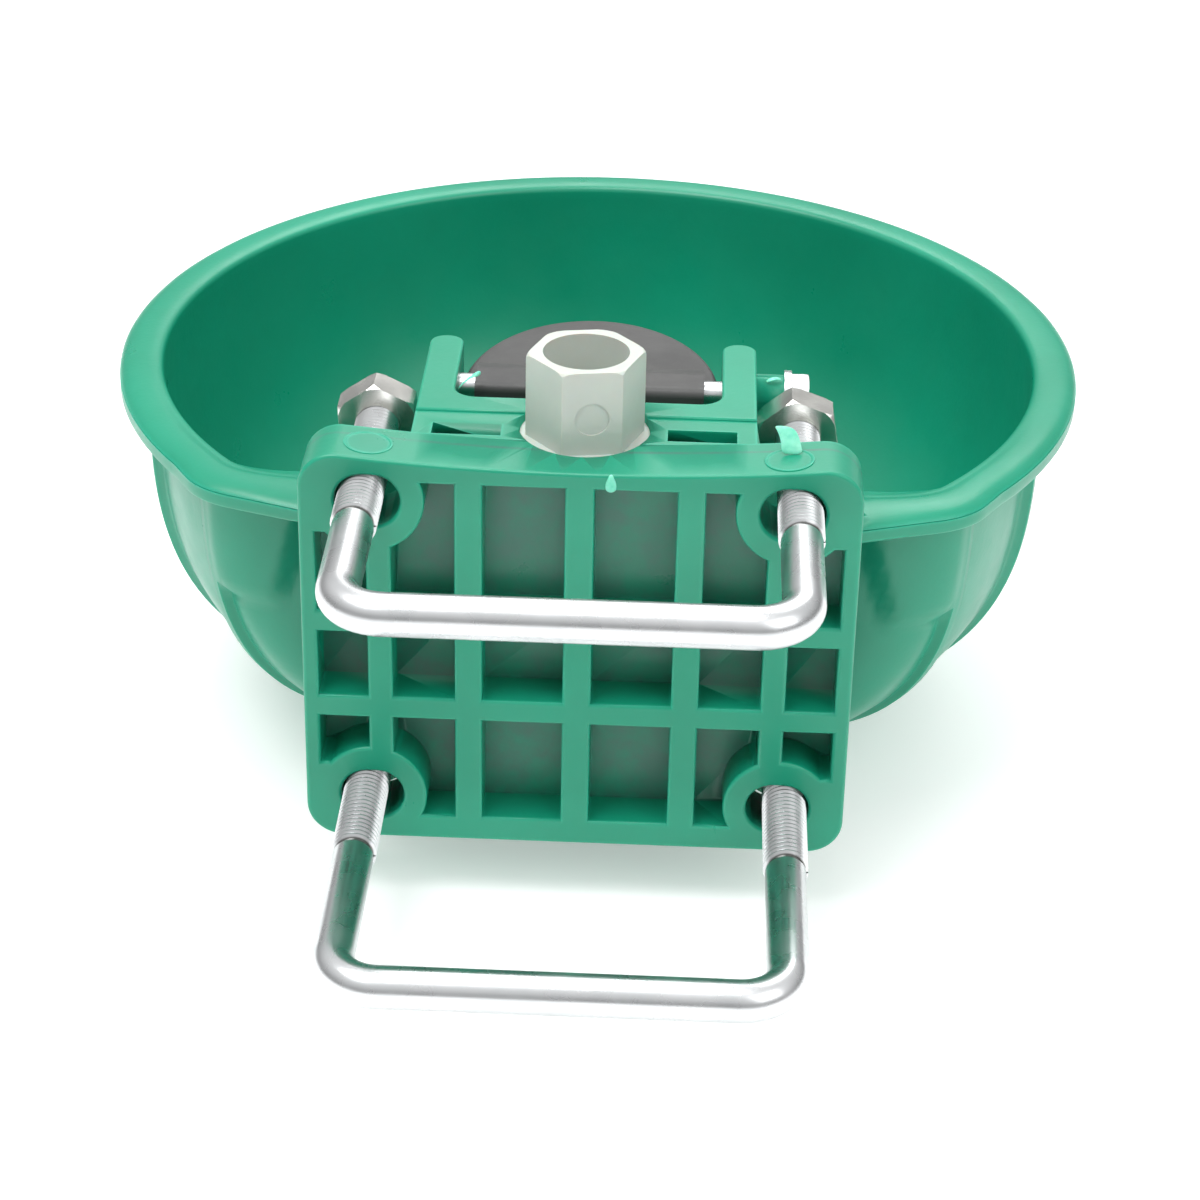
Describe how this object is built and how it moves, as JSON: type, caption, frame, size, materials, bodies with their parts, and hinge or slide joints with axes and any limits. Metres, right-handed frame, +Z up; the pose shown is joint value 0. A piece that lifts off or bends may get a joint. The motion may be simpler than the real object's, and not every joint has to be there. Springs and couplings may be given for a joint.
{
  "type": "paddle valve livestock drinking bowl",
  "caption": "Plastic livestock drinking bowl that clamps to a post with U-bolts; pressing the hinged paddle opens a spring-loaded water valve.",
  "frame": {"origin": "middle of the four clamp slots, on the plate's post-side face", "axes": "+X to the right seen from the post, +Y away from the post out over the bowl, +Z up"},
  "size_m": [0.231, 0.2968, 0.1262],
  "materials": {
    "green_plastic": "moulded satin",
    "dark_plastic": "matt",
    "white_plastic": "matt",
    "black_rubber": "matt",
    "zinc_steel": "zinc plated",
    "bright_zinc": "bright zinc plated",
    "yellow_zinc": "zinc plated, slight yellow tint",
    "stainless": "plain",
    "brass": "turned"
  },
  "bodies": {
    "bowl": {"bowl_moulding": "green_plastic", "post_plate": "green_plastic", "valve_hood": "green_plastic", "hinge_screw": "zinc_steel", "hinge_washer": "zinc_steel", "inlet_fitting": "white_plastic", "inlet_gasket": "black_rubber", "inlet_strainer": "stainless", "valve_cartridge": "white_plastic", "cartridge_gasket": "black_rubber", "valve_seat": "brass", "spring_plug": "brass", "return_spring": "stainless"},
    "paddle": {"paddle": "dark_plastic"},
    "stem": {"valve_stem": "brass", "stem_seal": "black_rubber"},
    "upper_clamp": {"upper_u_bolt": "bright_zinc", "upper_nut_left": "yellow_zinc", "upper_nut_right": "yellow_zinc"},
    "lower_clamp": {"lower_u_bolt": "bright_zinc", "lower_nut_left": "yellow_zinc", "lower_nut_right": "yellow_zinc"}
  },
  "joints": [
    {"name": "paddle_tilt", "type": "hinge", "parent": "bowl", "child": "paddle", "pos_m": [0, 0.053, 0.0397], "axis": [-1, 0, 0], "range_deg": [0, 12], "stiffness_Nm_per_rad": 0.5, "springref_deg": -20.05},
    {"name": "valve_stem_slide", "type": "slide", "parent": "bowl", "child": "stem", "axis": [0, -1, 0], "range_m": [0, 0.0038], "deforming": ["return_spring"]},
    {"name": "upper_clamp_slide", "type": "slide", "parent": "bowl", "child": "upper_clamp", "axis": [0, -1, 0], "range_m": [-0.0004, 0.021]},
    {"name": "lower_clamp_slide", "type": "slide", "parent": "bowl", "child": "lower_clamp", "axis": [0, -1, 0], "range_m": [-0.0015, 0.0026]}
  ],
  "couplings": [
    {"joint": "valve_stem_slide", "follows": "paddle_tilt", "m_per_rad": 0.0177}
  ]
}
